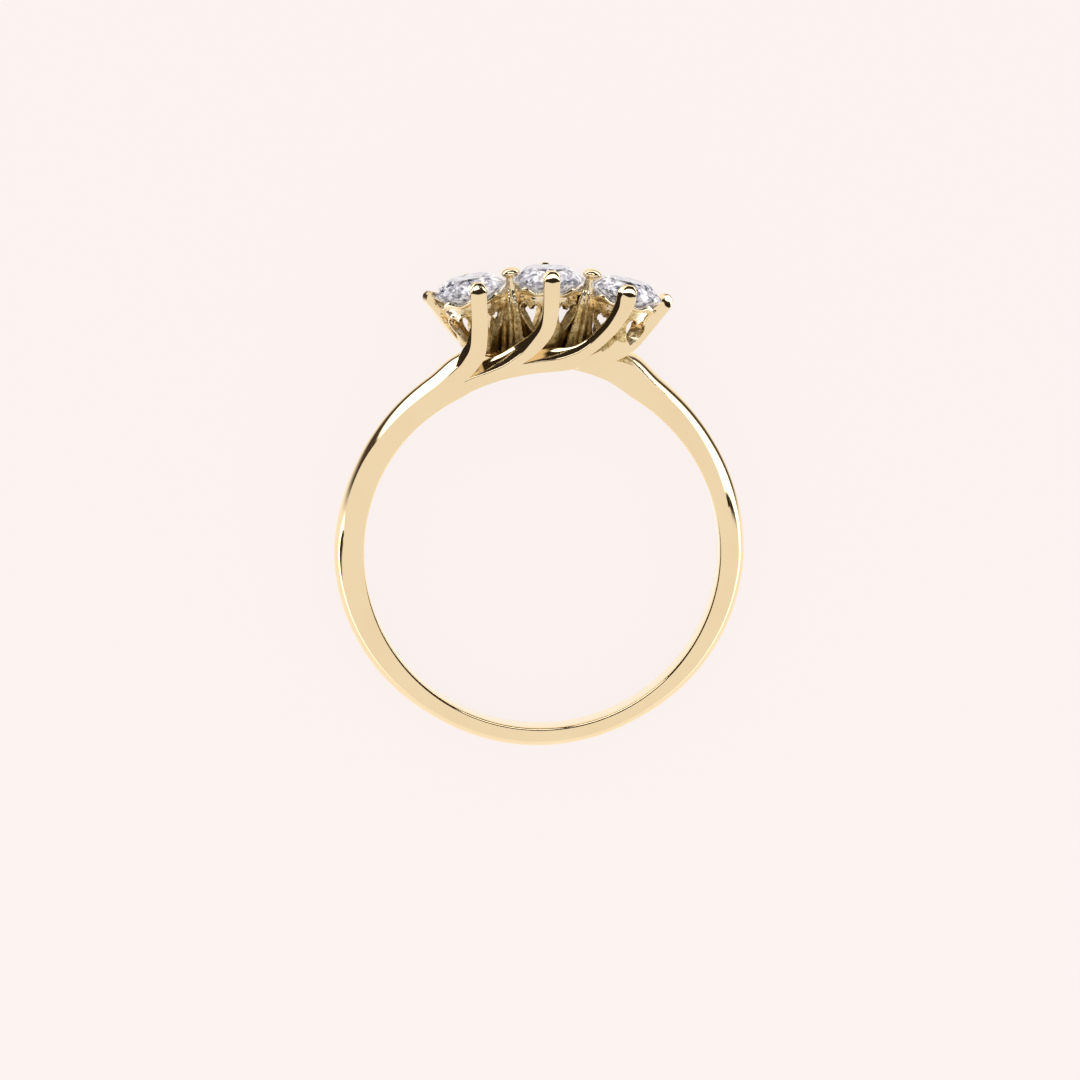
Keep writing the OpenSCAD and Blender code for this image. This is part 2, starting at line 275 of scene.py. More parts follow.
def diamond(name, side):
    """Clear stone whose many small reflections are painted as pale cells with a few dark ones, with a
    painted dark line at the table's edge and a faint painted glow.
    """
    made, graph, place = material(name)
    back = (LYING.to_4x4() @ at_stone(side)).inverted()
    own = graph.add(
        "ShaderNodeMapping",
        {},
        {"Vector": place, "Location": back.translation, "Rotation": back.to_euler()},
    )
    x, y, _ = graph.axes(own)
    out = graph.maths("SQRT", x * x + y * y)
    small, large = (
        graph.add("ShaderNodeTexVoronoi", {}, {"Vector": place, "Scale": 1 / size}, output="Color")
        for size in (0.14 * MM, 0.32 * MM)
    )
    play = 0.58 * graph.axes(small)[0] + 0.42 * graph.axes(large)[0]
    # Painted reflections: pale cells with a few dark ones stand in for the stone's small reflections
    painted_glints = graph.ramp(
        play,
        (0.20, (0.015, 0.015, 0.025)), (0.25, (0.15, 0.15, 0.19)), (0.42, (0.42, 0.43, 0.49)),
        (0.58, (0.64, 0.65, 0.71)), (0.70, (1.0, 1.0, 1.0)),
    )
    # Painted reflection on the table facet: a calmer, flat pale lavender
    table = graph.rise(out, (TABLE + 0.01) * STONE_R, (TABLE - 0.02) * STONE_R)
    painted_glints_and_table = graph.mixed(0.85 * table, painted_glints, (0.47, 0.48, 0.57, 1))
    # Painted shade: a dark line just outside the table's edge, where that edge faces front and back
    edge = graph.ramp(
        out / STONE_R,
        (0.56, (0.0, 0.0, 0.0)), (0.575, (1.0, 1.0, 1.0)), (0.63, (1.0, 1.0, 1.0)), (0.68, (0.0, 0.0, 0.0)),
    )
    facing = graph.rise(graph.maths("ABSOLUTE", y) / out, 0.78, 0.92)
    colour = graph.mixed(facing * edge, painted_glints_and_table, (0.02, 0.02, 0.03, 1))
    tilt = graph.add(
        "ShaderNodeVectorMath",
        {"operation": "MULTIPLY_ADD"},
        [large, (0.5, 0.5, 0.5), (-0.25, -0.25, -0.25)],
    )
    own_normal = graph.add("ShaderNodeNewGeometry", output="Normal")
    turned_normal = graph.add("ShaderNodeVectorMath", {"operation": "ADD"}, [own_normal, tilt])
    facets = graph.add("ShaderNodeVectorMath", {"operation": "NORMALIZE"}, [turned_normal])
    clear = graph.add(
        "ShaderNodeBsdfPrincipled",
        {},
        {
            "Base Color": (0.97, 0.97, 1.0, 1),
            "Roughness": 0.0,
            "IOR": 2.417,
            "Transmission Weight": 1.0,
            "Normal": facets,
        },
    )
    # Painted glow: the painted reflections also glow faintly, so the stone stays bright in the shade of its
    # cup
    glowing_painted_stone = graph.add(
        "ShaderNodeBsdfPrincipled",
        {},
        {
            "Base Color": colour,
            "Roughness": 0.10,
            "IOR": 1.8,
            "Emission Color": colour,
            "Emission Strength": 0.26,
            "Normal": facets,
        },
    )
    both = graph.add("ShaderNodeMixShader", {}, [0.60 + 0.30 * play, clear, glowing_painted_stone])
    graph.add("ShaderNodeOutputMaterial", {}, {"Surface": both})
    return made


# What metal mirrors on the floor: painted shade near the ring, a painted shadow as a dark band beside the
# head, and the lit table
FLOOR_SHADE = (0.44, 0.42, 0.40)
FLOOR_PAINTED_SHADOW = (0.03, 0.02, 0.015)
FLOOR_LIT = (1.0, 0.98, 0.95)


def floor_paper():
    """Pale paper, evenly lit; metal mirrors it as a painted lit table, with painted shade near the ring, a
    painted shadow band beside the head, and brightest beyond the head of the ring.
    """
    made, graph, place = material("floor_paper")
    colour = graph.ramp(
        graph.noise(place, 300 * MM), (0.3, (0.970, 0.902, 0.885)), (0.7, (0.978, 0.910, 0.893))
    )
    paper = graph.add(
        "ShaderNodeBsdfPrincipled", {}, {"Base Color": colour, "Roughness": 0.95, "Specular IOR Level": 0.0}
    )
    glow = graph.add("ShaderNodeEmission", {}, {"Color": colour, "Strength": 1.0})
    # Painted light that only mirrors see: shade near the ring, a dark painted shadow band beside the head,
    # and the bright table beyond it
    x, up, _ = graph.axes(place)
    aside = (graph.maths("ABSOLUTE", x) + 0.5 * up) / (40 * MM)
    lit = graph.ramp(
        aside, (0.300, FLOOR_SHADE), (0.335, FLOOR_PAINTED_SHADOW), (0.395, FLOOR_PAINTED_SHADOW), (0.430, FLOOR_LIT)
    )
    plain = graph.ramp(aside, (0.39, FLOOR_SHADE), (0.44, FLOOR_LIT))
    table = graph.mixed(graph.rise(up, 1.5 * MM, 4 * MM), plain, lit)
    mirrored = graph.add("ShaderNodeEmission", {}, {"Color": table, "Strength": 2.4})
    seen = graph.add("ShaderNodeMixShader", {}, [0.90, paper, glow])
    rays = graph.add("ShaderNodeLightPath", output="Is Glossy Ray")
    both = graph.add("ShaderNodeMixShader", {}, [rays, seen, mirrored])
    graph.add("ShaderNodeOutputMaterial", {}, {"Surface": both})
    return made


# Shapes

def row_at(rows, at):
    """A table's row at a place between its rows, on a smooth curve through them."""
    last = len(rows) - 1
    i = min(int(at), last - 1)
    t = at - i
    a, b, c, d = (rows[min(max(k, 0), last)] for k in (i - 1, i, i + 1, i + 2))
    return [
        q + t / 2 * (r - p + t * (2 * p - 5 * q + 4 * r - s + t * (3 * q - p - 3 * r + s)))
        for p, q, r, s in zip(a, b, c, d)
    ]


def row_places(rows):
    """The places along a table at which it is read, a few from each row to the next."""
    return [k / ROW_STEPS for k in range(ROW_STEPS * (len(rows) - 1) + 1)]


def polar(turn, r, z=0.0):
    """A point at an angle from the head, a distance from the finger's axis and a place along it."""
    return Vector((r * sin(turn), r * cos(turn), z))


def on_head(turn, rise):
    """A point of the swirl, at a share of the stones' pitch and of the head's height."""
    return polar(turn * PITCH, HOLE_R + rise * HEAD_H)


def only_select(piece):
    bpy.ops.object.select_all(action="DESELECT")
    piece.select_set(True)
    bpy.context.view_layer.objects.active = piece


def drawn(name, rings):
    """A solid drawn out of its first section, ring by ring, by extrusion."""
    bpy.ops.object.select_all(action="DESELECT")
    bpy.ops.mesh.primitive_circle_add(vertices=len(rings[0]), radius=MM, fill_type="NGON")
    piece = bpy.context.object
    piece.name = name
    piece.data.name = name
    for vertex, point in zip(piece.data.vertices, rings[0]):
        vertex.co = point
    bpy.ops.object.mode_set(mode="EDIT")
    bpy.ops.mesh.select_all(action="SELECT")
    for before, after in zip(rings, rings[1:]):
        bpy.ops.mesh.extrude_region_move()
        net = bmesh.from_edit_mesh(piece.data)
        for vertex in [v for v in net.verts if v.select]:
            nearest = min(range(len(before)), key=lambda k: (before[k] - vertex.co).length_squared)
            vertex.co = after[nearest]
        bmesh.update_edit_mesh(piece.data)
    bpy.ops.mesh.select_all(action="SELECT")
    bpy.ops.mesh.normals_make_consistent(inside=False)
    bpy.ops.object.mode_set(mode="OBJECT")
    return piece


def slab(name, outline, near, far):
    """A solid with one outline in the XY plane, from one height to another."""
    return drawn(name, [[point + Vector((0, 0, z)) for point in outline] for z in (near, far)])


def turned(name, profile, steps, matrix):
    """A round solid: the profile, from axis to axis, spun about Z and then placed."""
    bpy.ops.object.select_all(action="DESELECT")
    bpy.ops.mesh.primitive_circle_add(vertices=len(profile), radius=MM, fill_type="NOTHING")
    piece = bpy.context.object
    piece.name = name
    piece.data.name = name
    for vertex, (r, z) in zip(piece.data.vertices, profile):
        vertex.co = (r, 0, z)
    bpy.ops.object.mode_set(mode="EDIT")
    bpy.ops.mesh.select_all(action="SELECT")
    bpy.ops.mesh.spin(steps=steps, angle=2 * pi, center=(0, 0, 0), axis=(0, 0, 1))
    bpy.ops.mesh.select_all(action="SELECT")
    bpy.ops.mesh.remove_doubles(threshold=0.0005 * MM)
    bpy.ops.mesh.normals_make_consistent(inside=False)
    bpy.ops.object.mode_set(mode="OBJECT")
    piece.data.transform(matrix)
    return piece


def modified(piece, kind, **settings):
    """The piece with a modifier added and applied."""
    only_select(piece)
    modifier = piece.modifiers.new(kind.lower(), kind)
    for key, value in settings.items():
        setattr(modifier, key, value)
    bpy.ops.object.modifier_apply(modifier=modifier.name)
    return piece


def cut(piece, *tools):
    """The piece with each tool's space cut out of it; the tools are thrown away."""
    for tool in tools:
        modified(piece, "BOOLEAN", operation="DIFFERENCE", solver="EXACT", object=tool)
        bpy.data.objects.remove(tool)
    return piece


def joined(piece, *others):
    """One solid of several that overlap."""
    for other in others:
        modified(piece, "BOOLEAN", operation="UNION", solver="EXACT", object=other)
        bpy.data.objects.remove(other)
    return piece


def polished(piece):
    """The piece shaded smooth between its sharp edges, with its flat faces kept flat."""
    only_select(piece)
    bpy.ops.object.shade_smooth_by_angle(angle=radians(38))
    return modified(piece, "WEIGHTED_NORMAL", keep_sharp=True)


def softened(piece, width):
    """The piece with its sharp edges rounded, then polished."""
    modified(
        piece, "BEVEL", width=width, segments=3, limit_method="ANGLE", angle_limit=radians(28),
        use_clamp_overlap=True,
    )
    return polished(piece)


# Skin of a casting: the size of the cubes that it is remeshed in, and of its lumps, with their share of
# the grain
CUBE = 0.045 * MM
SKIN = [(0.45 * MM, 1.0), (0.14 * MM, 0.5)]


def cast(piece, grain):
    """The piece with the soft edges and uneven skin of a casting."""
    modified(piece, "REMESH", mode="VOXEL", voxel_size=CUBE)
    modified(piece, "SMOOTH", factor=0.5, iterations=2)
    for size, share in SKIN:
        skin = bpy.data.textures.new("skin", "CLOUDS")
        skin.noise_scale = size
        skin.noise_depth = 1
        modified(
            piece, "DISPLACE", texture=skin, texture_coords="LOCAL", strength=grain * share, mid_level=0.5
        )
    only_select(piece)
    bpy.ops.object.shade_smooth()
    return piece


def finished(piece, look):
    """The piece laid down with the ring, given its finish and fastened to the ring's body."""
    piece.data.transform(LYING.to_4x4())
    piece.data.materials.clear()
    piece.data.materials.append(look)
    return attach(piece, "root")


def turned_round(piece, name):
    """A copy of a piece for the back of the ring, turned half round about the head's upright axis."""
    copy = piece.copy()
    copy.data = piece.data.copy()
    copy.name = name
    copy.data.name = name
    bpy.context.scene.collection.objects.link(copy)
    copy.data.transform(Matrix.Rotation(pi, 4, "Y"))
    return copy


# Band. Columns of its table, from the foot up to the end under the cups.
# WAY: share of the way up
# GROW: thickness, 0 at the foot, 1 at the side, 2 where it meets the head
# EDGE, LEAD: height of the flat side face as a share of the thickness, on the side that trails and on
# the side that leads into the swirl
# CREST: outer face, 0 rounded and 1 chamfered
# BACK: how far the middle moves aside, as a share of the width
BAND = [
    (0.000, 0.00, 0.42, 0.42, 0.0, 0.00),
    (0.164, 0.00, 0.42, 0.42, 0.0, 0.00),
    (0.329, 0.60, 0.45, 0.45, 0.0, 0.00),
    (0.493, 1.00, 0.46, 0.56, 0.1, 0.00),
    (0.566, 0.95, 0.50, 0.78, 0.6, 0.00),
    (0.658, 0.90, 0.59, 0.85, 1.0, 0.02),
    (0.767, 1.10, 0.69, 0.73, 1.0, 0.12),
    (0.850, 1.38, 0.73, 0.70, 1.0, 0.36),
    (0.913, 2.00, 0.80, 0.80, 1.0, 0.49),
    (0.957, 0.60, 0.97, 0.97, 1.0, 0.47),
    (1.000, 0.20, 0.97, 0.97, 1.0, 0.47),
]

# Share of the way up at which the band's side face reaches the head, where the band ends as a share of
# the pitch, its sections on each side, and the size of the slivers that are merged after the cuts
BAND_HEAD = 0.905
BAND_END = 0.45
BAND_STEPS = 100
SLIVER = 0.006 * MM

# Half the outer contour, from the side face to the middle of the crest: share of the width from the
# middle and share of the height above the side face, rounded and chamfered
ROUNDED = [(cos(radians(a)), sin(radians(a))) for a in (0, 8, 18, 29, 40, 51, 62, 73, 82, 90)]
CHAMFERED = [
    (1.0, 0.0), (0.88, 0.19), (0.76, 0.38), (0.64, 0.55), (0.53, 0.69),
    (0.43, 0.80), (0.33, 0.88), (0.22, 0.95), (0.11, 0.99), (0.0, 1.0),
]


def band_row(way):
    """The band's table at a share of the way up."""
    places = [row[0] for row in BAND]
    i = max(k for k in range(len(BAND) - 1) if places[k] <= way)
    return row_at(BAND, i + (way - places[i]) / (places[i + 1] - places[i]))


def band_half(thick, edge, crest):
    """Half a section of the band, from the middle of the inner wall round to the middle of the outer."""
    half = BAND_W / 2
    face = thick * edge
    inner = [(0.0, 0.0), (0.0, half * 0.5), (0.0, half - COMFORT_R)]
    corner = [
        (COMFORT_R * (1 - cos(radians(a))), half - COMFORT_R * (1 - sin(radians(a))))
        for a in (22, 45, 67, 90)
    ]
    flat = [(COMFORT_R + (face - COMFORT_R) * t, half) for t in (0.5, 0.96)]
    outer = []
    for (round_z, round_r), (ridge_z, ridge_r) in zip(ROUNDED, CHAMFERED):
        z = half * (round_z + (ridge_z - round_z) * crest)
        outer.append((face + (thick - face) * (round_r + (ridge_r - round_r) * crest), z))
    return inner + corner + flat + outer


def band_section(way, side):
    _, grow, edge, lead, crest, back = band_row(way)
    turn = side * (pi - way * (pi - BAND_END * PITCH))
    grow = max(grow, 0)
    thick = BAND_T + (SIDE_T - BAND_T) * grow if grow < 1 else SIDE_T + (ROOT_T - SIDE_T) * (grow - 1)
    thick -= side * OUTLINE_SHIFT * sin(abs(turn)) * (1 - crest / 2)
    shares = (lead, edge) if side < 0 else (edge, lead)
    front, rear = (band_half(thick, share, crest) for share in shares)
    middle = -side * back * BAND_W
    contour = front + [(r, -z) for r, z in reversed(rear[1:-1])]
    return [polar(turn, HOLE_R + r, middle + z) for r, z in contour]


def band():
    """The shank, from one end under the cups round the finger to the other, hollowed under the head."""
    ways = [k / BAND_STEPS for k in range(BAND_STEPS + 1)]
    left = [band_section(way, -1) for way in reversed(ways)]
    right = [band_section(way, 1) for way in ways[1:]]
    piece = drawn("band", left + right)
    bpy.ops.mesh.primitive_cylinder_add(
        vertices=160, radius=ARCH_R, depth=8 * BAND_W, location=(0, ARCH_Y, 0)
    )
    arch = bpy.context.object
    bpy.ops.object.transform_apply(location=True, rotation=True, scale=True)
    space = groove()
    cut(piece, arch, turned_round(space, "groove_back"), space)
    only_select(piece)
    bpy.ops.object.mode_set(mode="EDIT")
    bpy.ops.mesh.select_all(action="SELECT")
    bpy.ops.mesh.remove_doubles(threshold=SLIVER)
    bpy.ops.object.mode_set(mode="OBJECT")
    return polished(piece)


# Bars. Columns of their tables, from root to tip.
# TURN: angle about the finger's axis as a share of the pitch
# RISE: height above the finger hole as a share of the head's
# WIDE: width of the front face as a share of a claw's
# SLOPE: width of the sloping upper side as a share of a claw's thickness
LEFT_BAR = [
    (-2.00, 0.140, 0.98, 0.02),
    (-1.75, 0.165, 0.98, 0.03),
    (-1.55, 0.196, 0.98, 0.12),
    (-1.42, 0.224, 0.99, 0.30),
    (-1.30, 0.265, 1.02, 0.42),
    (-1.18, 0.322, 1.05, 0.44),
    (-1.09, 0.413, 1.00, 0.30),
    (-1.005, 0.570, 1.00, 0.10),
    (-0.955, 0.720, 1.00, 0.02),
    (-0.92, 0.850, 1.00, 0.02),
]
CENTRE_BAR = [
    (-2.00, 0.060, 0.50, 0.02),
    (-1.70, 0.080, 0.52, 0.04),
    (-1.42, 0.092, 0.55, 0.30),
    (-1.15, 0.090, 0.56, 0.50),
    (-0.85, 0.108, 0.56, 0.56),
    (-0.65, 0.142, 0.56, 0.52),
    (-0.39, 0.213, 0.63, 0.44),
    (-0.18, 0.317, 0.78, 0.33),
    (-0.03, 0.441, 0.85, 0.22),
    (0.02, 0.600, 0.90, 0.10),
    (0.02, 0.882, 1.00, 0.02),
]
RIGHT_BAR = [
    (-0.90, 0.070, 0.55, 0.02),
    (-0.57, 0.100, 0.56, 0.06),
    (-0.27, 0.113, 0.56, 0.45),
    (0.00, 0.125, 0.56, 0.54),
    (0.23, 0.151, 0.56, 0.46),
    (0.44, 0.200, 0.57, 0.38),
    (0.60, 0.262, 0.57, 0.34),
    (0.76, 0.367, 0.60, 0.30),
    (0.90, 0.510, 0.64, 0.30),
    (0.97, 0.630, 0.70, 0.30),
    (1.01, 0.760, 0.80, 0.30),
    (1.00, 0.868, 0.92, 0.26),
]
LIP_BAR = [
    (-2.00, 0.075, 0.60, 0.02),
    (-1.50, 0.060, 0.56, 0.02),
    (-0.90, 0.066, 0.50, 0.02),
    (-0.34, 0.080, 0.52, 0.02),
    (0.22, 0.110, 0.52, 0.02),
    (0.47, 0.150, 0.48, 0.02),
    (0.66, 0.205, 0.42, 0.02),
]
END_BAR = [
    (0.42, 0.140, 0.60, 0.02),
    (0.70, 0.200, 0.80, 0.02),
    (0.98, 0.300, 1.10, 0.02),
    (1.20, 0.440, 1.25, 0.02),
    (1.355, 0.640, 1.06, 0.02),
    (1.445, 0.800, 0.86, 0.02),
    (1.49, 0.890, 0.78, 0.02),
]

# The bars' roots: how far they stand over the shank's face, and how far their ends sink under it, from
# which turn on and over how much of one
ROOT_RISE = 0.012 * MM
ROOT_SINK = 0.045 * MM
SINK_FROM = 1.70
SINK_OVER = 0.20

# Section of a bar: its rounded edges, the points across its front as shares of the flat between them,
# the least and most that its side slopes, and how near the back it stays straight, as shares of a
# claw's thickness
EDGE_R = 0.05 * MM
EDGE_PLACES = (0, 0.25, 0.5, 0.75, 1)
FRONT_PLACES = (-0.88, -0.66, -0.44, -0.22, 0, 0.22, 0.44, 0.66, 0.88)
SLOPE_LEAST = 0.02
SLOPE_MOST = 0.6
BACK_FROM = 0.98

# The flatter strip below a bar's sloping side: its width, how steeply it falls, how deep it may lie,
# and the slopes at which it starts to grow from its least share and has grown to its full width
STRIP = 0.17 * MM
STRIP_FALL = 0.65
STRIP_DEPTH = 0.9
STRIP_LEAST = 0.15
STRIP_FROM = 0.25
STRIP_FULL = 0.45

# Domed tip of a bar: its height, its depth and how far its top edge is rounded, the height of the arch
# that it makes seen from the front, how much later it begins at the sides, how far it is crowned
# across, and its rings
TIP_H = 0.60 * MM
TIP_DEPTH = 0.34 * MM
TIP_ROUND = 0.08 * MM
TIP_ROUND_FROM = 0.85
TIP_ARCH = 0.34 * MM
TIP_LAG = 0.30
TIP_CROWN = 0.55
DOME = (0.04, 0.10, 0.17, 0.25, 0.34, 0.43, 0.52, 0.61, 0.70, 0.78, 0.85, 0.90, 0.94, 0.97)


def dome_depth(up):
    """How far a domed tip lies behind the flat front, at a share of its height."""
    up = min(max(up, 0), 1)
    late = min(max(up - TIP_ROUND_FROM, 0) / (1 - TIP_ROUND_FROM), 1)
    return TIP_DEPTH * (0.45 * up + 0.55 * up ** 2) + TIP_ROUND * (1 - (1 - late ** 2) ** 0.5)


def rounded(corners, radius):
    """A polygon with each corner turned into a short curve."""
    points = []
    for k, corner in enumerate(corners):
        before, after = corners[k - 1] - corner, corners[(k + 1) % len(corners)] - corner
        near = min(radius, 0.46 * before.length, 0.46 * after.length)
        start, end = corner + before.normalized() * near, corner + after.normalized() * near
        for t in EDGE_PLACES:
            points.append((1 - t) ** 2 * start + 2 * t * (1 - t) * corner + t ** 2 * end)
    return points


def bar_section(centre, along, width, slope, strip, tip=0.0):
    """One section across a bar, whose front lies in the XY plane where it is at its full thickness."""
    left = Vector((-along.y, along.x, 0))
    half = width / 2
    drop = min(slope, SLOPE_MOST) * CLAW_T
    strip *= min(max((slope - STRIP_FROM) / (STRIP_FULL - STRIP_FROM), STRIP_LEAST), 1)
    low = max(-drop - STRIP_FALL * strip, -STRIP_DEPTH * CLAW_T)
    corners = [
        (-half, -CLAW_T), (-half, 0), (half, 0), (half + drop, -drop), (half + drop + strip, low),
        (half + drop + strip, -CLAW_T),
    ]
    contour = rounded([Vector(c) for c in corners], EDGE_R)
    front = 2 * len(EDGE_PLACES)
    flat = abs(contour[front - 1].x)
    contour[front:front] = [Vector((flat * share, 0)) for share in FRONT_PLACES]
    points = []
    for s, t in contour:
        across = min(abs(s) / half, 1) ** 2
        bend = dome_depth(tip - TIP_LAG * (1 - tip) * across) if tip else 0
        bend += TIP_CROWN * tip * half * (1 - (1 - across ** 2) ** 0.5)
        depth = t - bend if t > -BACK_FROM * CLAW_T else t
        points.append(centre + left * s + Vector((0, 0, depth)))
    return points


def bar(name, rows, strip=0.0, cap=True):
    """A flat bar with a domed end that bends over the stone, drawn with its front in the XY plane."""
    table = [row_at(rows, place) for place in row_places(rows)]
    last = len(table) - 1
    route = [on_head(turn, rise) for turn, rise, _, _ in table]
    rings = []
    for k, (_, _, wide, slope) in enumerate(table):
        along = (route[min(k + 1, last)] - route[max(k - 1, 0)]).normalized()
        rings.append(bar_section(route[k], along, wide * CLAW_W, max(slope, SLOPE_LEAST), strip))
    _, _, wide, slope = table[-1]
    for tip in DOME if cap else ():
        arch = max(0.0, TIP_H * (tip - 1) + TIP_ARCH) / TIP_ARCH
        width = wide * CLAW_W * (1 - arch ** 2) ** 0.5
        tip_slope = slope * max(1 - 1.5 * arch, 0.05)
        rings.append(bar_section(route[-1] + along * TIP_H * tip, along, width, tip_slope, strip, tip))
    return drawn(name, rings)


# The groove that parts the left claw from the centre claw's root: where it starts and ends, how far it
# laps over the centre claw, and its depth as a share of a claw's thickness
GROOVE_FROM = -1.47
GROOVE_TO = -0.08
GROOVE_LAP = 0.02 * MM
GROOVE_DEPTH = 0.9


def groove():
    """The space between the left claw and the root of the centre claw, which the band leaves free."""
    edge = []
    for place in row_places(CENTRE_BAR):
        turn, rise, wide, _ = row_at(CENTRE_BAR, place)
        if GROOVE_FROM < turn < GROOVE_TO:
            point = on_head(turn, rise)
            ahead = row_at(CENTRE_BAR, place + 0.1)
            along = (on_head(ahead[0], ahead[1]) - point).normalized()
            edge.append(point + Vector((-along.y, along.x, 0)) * (wide * CLAW_W / 2 - GROOVE_LAP))
    beside = []
    for place in row_places(LEFT_BAR):
        turn, rise, _, _ = row_at(LEFT_BAR, place)
        if turn > GROOVE_FROM:
            beside.append(on_head(turn, rise))
    outline = edge + [polar(-0.2 * PITCH, GIRDLE_R)] + list(reversed(beside))
    return slab("groove", outline, face_z(-PITCH) - GROOVE_DEPTH * CLAW_T, 3 * BAND_W)


def face_z(turn):
    """Height of the ring's front face over the middle plane: the left shank's, then level in the swirl."""
    way = (pi - abs(turn)) / (pi - BAND_END * PITCH) if turn < 0 else 1
    root = min(max((-turn / PITCH - SINK_FROM) / SINK_OVER, 0), 1)
    return BAND_W * (0.5 + band_row(min(way, BAND_HEAD))[5]) + ROOT_RISE - root * ROOT_SINK


def leaned_out(piece):
    """The piece moved from the XY plane to the front row of claws, which leans out as it rises."""
    for vertex in piece.data.vertices:
        x, y, z = vertex.co
        rise = y - HOLE_R - LEAN_FROM
        vertex.co.z = z + face_z(atan2(x, y)) + LEAN_OUT * (hypot(rise, LEAN_SOFT) + rise) / 2
    return piece


# The end claw's way to the middle plane: the turn and rise where it springs from the front, the turn
# where it gets there, and how far its root lies behind the claws' reach as a share of their thickness
CROSS_FROM = 0.42
CROSS_RISE = 0.12
CROSS_TO = 1.46
CROSS_BEHIND = 0.78


def crossed(piece):
    """The piece moved from the XY plane to its way from the front row to the end of the outer stone."""
    tip_x = (GIRDLE_R + CLAW_H) * sin(CROSS_TO * PITCH)
    root_x = (HOLE_R + CROSS_RISE * HEAD_H) * sin(CROSS_FROM * PITCH)
    across = atan((CLAW_REACH - CROSS_BEHIND * CLAW_T) / (tip_x - root_x))
    piece.data.transform(
        Matrix.Translation((tip_x, 0, 0))
        @ Matrix.Rotation(across, 4, "Y")
        @ Matrix.Translation((-tip_x, 0, CLAW_T / 2))
    )
    return piece


def at_stone(side):
    """Matrix that puts a shape on a stone's spot, with the stone's axis along the shape's Z."""
    return (
        Matrix.Rotation(-side * PITCH, 4, "Z")
        @ Matrix.Translation((0, GIRDLE_R, 0))
        @ Matrix.Rotation(side * (PITCH - SIDE_TILT), 4, "Z")
        @ Matrix.Rotation(-pi / 2, 4, "X")
    )


def seat(side):
    """The space of a stone and the small gap round it."""
    crown = STONE_R * (CROWN + GIRDLE / 2)
    edge = STONE_R * GIRDLE / 2
    profile = [
        (0, crown + 2 * SEAT_GAP),
        (STONE_R * TABLE, crown + 2 * SEAT_GAP),
        (STONE_R + SEAT_GAP, edge + SEAT_GAP),
        (STONE_R + SEAT_GAP, -edge - SEAT_GAP),
        (0, -STONE_R * (PAVILION + GIRDLE / 2) - 2 * SEAT_GAP),
    ]
    return turned("seat", profile, 48, at_stone(side))


def swirl():
    """The swirl and the end claw on the front of the ring, and the same turned round on its back."""
    lip = leaned_out(bar("lip", LIP_BAR, cap=False))
    left = leaned_out(bar("claw", LEFT_BAR))
    centre = leaned_out(bar("claw", CENTRE_BAR, STRIP))
    right = leaned_out(bar("claw", RIGHT_BAR, STRIP))
    front = joined(left, centre, right, lip)
    front.name = "swirl_front"
    cut(front, *[seat(side) for side in (-1, 0, 1)])
    end = crossed(bar("claw_end_right", END_BAR))
    cut(end, seat(1), window(-pi / 2 + WINDOW_TURN, at_stone(1)))
    made = []
    for piece, back_name in ((front, "swirl_back"), (end, "claw_end_left")):
        polished(piece)
        made += [piece, turned_round(piece, back_name)]
    return made


# Nail claws: how far they stand to the right of the middle between two stones, and how far they rise
# over the claws
NAIL_ASIDE = 0.15 * MM
NAIL_RISE = 0.06 * MM

# Head of a nail claw, from its neck up: half its width and the depth under its top, as shares of a
# claw's width
NAIL_HEAD = [
    (0.38, 0.66), (0.50, 0.56), (0.60, 0.46), (0.62, 0.38), (0.60, 0.30), (0.55, 0.22),
    (0.48, 0.15), (0.39, 0.09), (0.28, 0.04), (0.14, 0.01), (0.00, 0.00),
]


def between_stones(side):
    """Matrix that puts an upright shape between two neighbouring stones, its foot at the finger hole."""
    return Matrix.Rotation(-side * PITCH / 2, 4, "Z") @ Matrix.Translation((0, HOLE_R, 0))


def nail_claw(side):
    """Claw shared by two neighbouring stones: a flared post with a broad domed head."""
    foot = FLOOR_LIFT + FLOOR_T / 2
    w = CLAW_W
    stem = [
        (0, foot), (w * 0.70, foot), (w * 0.58, GIRDLE_H * 0.5), (w * 0.52, GIRDLE_H * 0.8),
        (w * 0.46, GIRDLE_H - STONE_R * 0.12), (w * 0.38, GIRDLE_H + STONE_R * 0.06),
    ]
    head = [(w * r, HEAD_H + NAIL_RISE - w * down) for r, down in NAIL_HEAD]
    aside = Matrix.Translation((NAIL_ASIDE, 0, 0))
    matrix = aside @ between_stones(side) @ Matrix.Rotation(-pi / 2, 4, "X")
    piece = turned("nail_claw_" + ("left" if side < 0 else "right"), stem + head, 32, matrix)
    cut(piece, seat(0), seat(side))
    return polished(piece)


# Rough pillar round a nail claw's stem. Columns: share of its height, and half its width as a share of
# a claw's
PILLAR = [(0.00, 1.25), (0.20, 0.95), (0.42, 0.78), (0.62, 0.68), (0.82, 0.58), (0.94, 0.46), (1.00, 0.34)]

# Its top as a share of the girdle's height, how much deeper than wide it is, its sides, flutes, their
# depth and the grain of its skin
PILLAR_TOP = 0.94
PILLAR_DEEP = 1.25
PILLAR_SIDES = 36
FLUTES = 7
FLUTE_DEPTH = 0.16
PILLAR_GRAIN = 0.06 * MM


